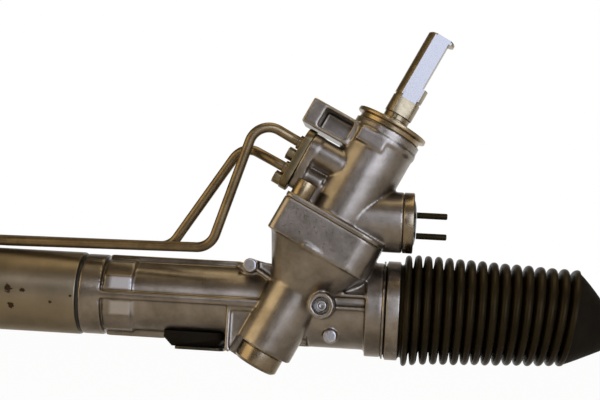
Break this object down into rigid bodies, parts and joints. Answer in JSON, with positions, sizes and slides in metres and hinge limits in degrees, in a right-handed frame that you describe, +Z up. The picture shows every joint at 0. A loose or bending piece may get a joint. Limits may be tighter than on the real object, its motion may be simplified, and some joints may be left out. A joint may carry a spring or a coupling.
{
  "type": "steering rack",
  "caption": "Hydraulic power steering rack with tilted rotary valve tower, steel power cylinder, feed pipes, solenoid boss, bellows and tie rods.",
  "frame": {"origin": "on the rack's axis, below the point where the pinion's line crosses it in front view", "axes": "+X along the rack to the end with the shorter housing, +Y away from the front face, towards the mounting lugs, +Z up"},
  "size_m": [1.1466, 0.116, 0.2103],
  "materials": {
    "cast_aluminium": "as cast, fine grain",
    "machined_aluminium": "machined",
    "tube_steel": "drawn tube, grey",
    "bright_steel": "ground",
    "pipe_steel": "yellow zinc plated, aged",
    "dark_steel": "black oxide",
    "black_rubber": "satin",
    "seal_rubber": "matt",
    "black_plastic": "satin",
    "ball_seat_plastic": "matt",
    "bronze": "machined",
    "spring_steel": "oiled"
  },
  "bodies": {
    "housing": {"gear_housing": "cast_aluminium", "valve_body": "cast_aluminium", "flange_screws": "dark_steel", "cylinder_tube": "tube_steel", "seam_ring": "dark_steel", "cylinder_end_bush": "machined_aluminium", "inner_rack_seal": "seal_rubber", "outer_rack_seal": "seal_rubber", "seal_spacer": "machined_aluminium", "rack_bush": "bronze", "support_yoke": "machined_aluminium", "yoke_spring": "spring_steel", "yoke_adjuster": "machined_aluminium", "yoke_lock_nut": "bright_steel", "lower_bearing_outer": "bright_steel", "lower_bearing_balls": "bright_steel", "pinion_cap": "machined_aluminium", "upper_bearing": "bright_steel", "pinion_seal": "seal_rubber", "input_bearing": "bright_steel", "input_seal": "seal_rubber", "dust_cover": "bright_steel", "feed_pipe_front": "pipe_steel", "feed_pipe_rear": "pipe_steel", "pipe_clamp_plate": "dark_steel", "pipe_clamp_bolts": "dark_steel", "pipe_unions": "pipe_steel", "solenoid": "tube_steel", "solenoid_cover": "machined_aluminium", "lead_grommet": "black_plastic", "solenoid_leads": "black_rubber", "mount_pad": "black_rubber", "mount_pad_plate": "dark_steel", "breather_nipple": "bright_steel", "tube_mount_bush": "black_rubber", "tube_mount_bracket": "dark_steel", "bellows_right": "black_rubber", "bellows_clamp_right": "bright_steel", "bellows_left": "black_rubber", "bellows_clamp_left": "bright_steel"},
    "pinion": {"pinion_shaft": "bright_steel", "pinion_nut": "dark_steel", "valve_sleeve": "bright_steel", "sleeve_rings": "black_plastic", "lower_bearing_inner": "bright_steel", "torsion_bar": "spring_steel"},
    "input": {"input_shaft": "bright_steel"},
    "rack": {"rack_bar": "bright_steel", "piston": "bright_steel", "piston_ring": "black_plastic", "ball_socket_right": "bright_steel", "ball_socket_left": "bright_steel", "ball_seat_right": "ball_seat_plastic", "ball_seat_left": "ball_seat_plastic"},
    "right_tie_rod": {"tie_rod_right": "dark_steel", "jam_nut_right": "bright_steel", "neck_clamp_right": "bright_steel"},
    "left_tie_rod": {"tie_rod_left": "dark_steel", "jam_nut_left": "bright_steel", "neck_clamp_left": "bright_steel"}
  },
  "joints": [
    {"name": "steering_input", "type": "hinge", "parent": "housing", "child": "pinion", "pos_m": [0, -0.0166, 0], "axis": [0.4524, 0, 0.8918], "range_deg": [-447.14, 447.14]},
    {"name": "valve_twist", "type": "hinge", "parent": "pinion", "child": "input", "pos_m": [0, -0.0166, 0], "axis": [0.4524, 0, 0.8918], "range_deg": [-4, 4], "stiffness_Nm_per_rad": 60},
    {"name": "rack_slide", "type": "slide", "parent": "housing", "child": "rack", "axis": [1, 0, 0], "range_m": [-0.07, 0.07], "deforming": ["bellows_right", "bellows_left"]},
    {"name": "right_tie_rod_swing", "type": "hinge", "parent": "rack", "child": "right_tie_rod", "pos_m": [0.15, 0, 0], "axis": [0, 1, 0], "range_deg": [-26, 14], "deforming": ["bellows_right"]},
    {"name": "left_tie_rod_swing", "type": "hinge", "parent": "rack", "child": "left_tie_rod", "pos_m": [-0.4982, 0, 0], "axis": [0, 1, 0], "range_deg": [-14, 26], "deforming": ["bellows_left"]}
  ],
  "couplings": [
    {"joint": "steering_input", "follows": "rack_slide", "rad_per_m": -111.47}
  ]
}
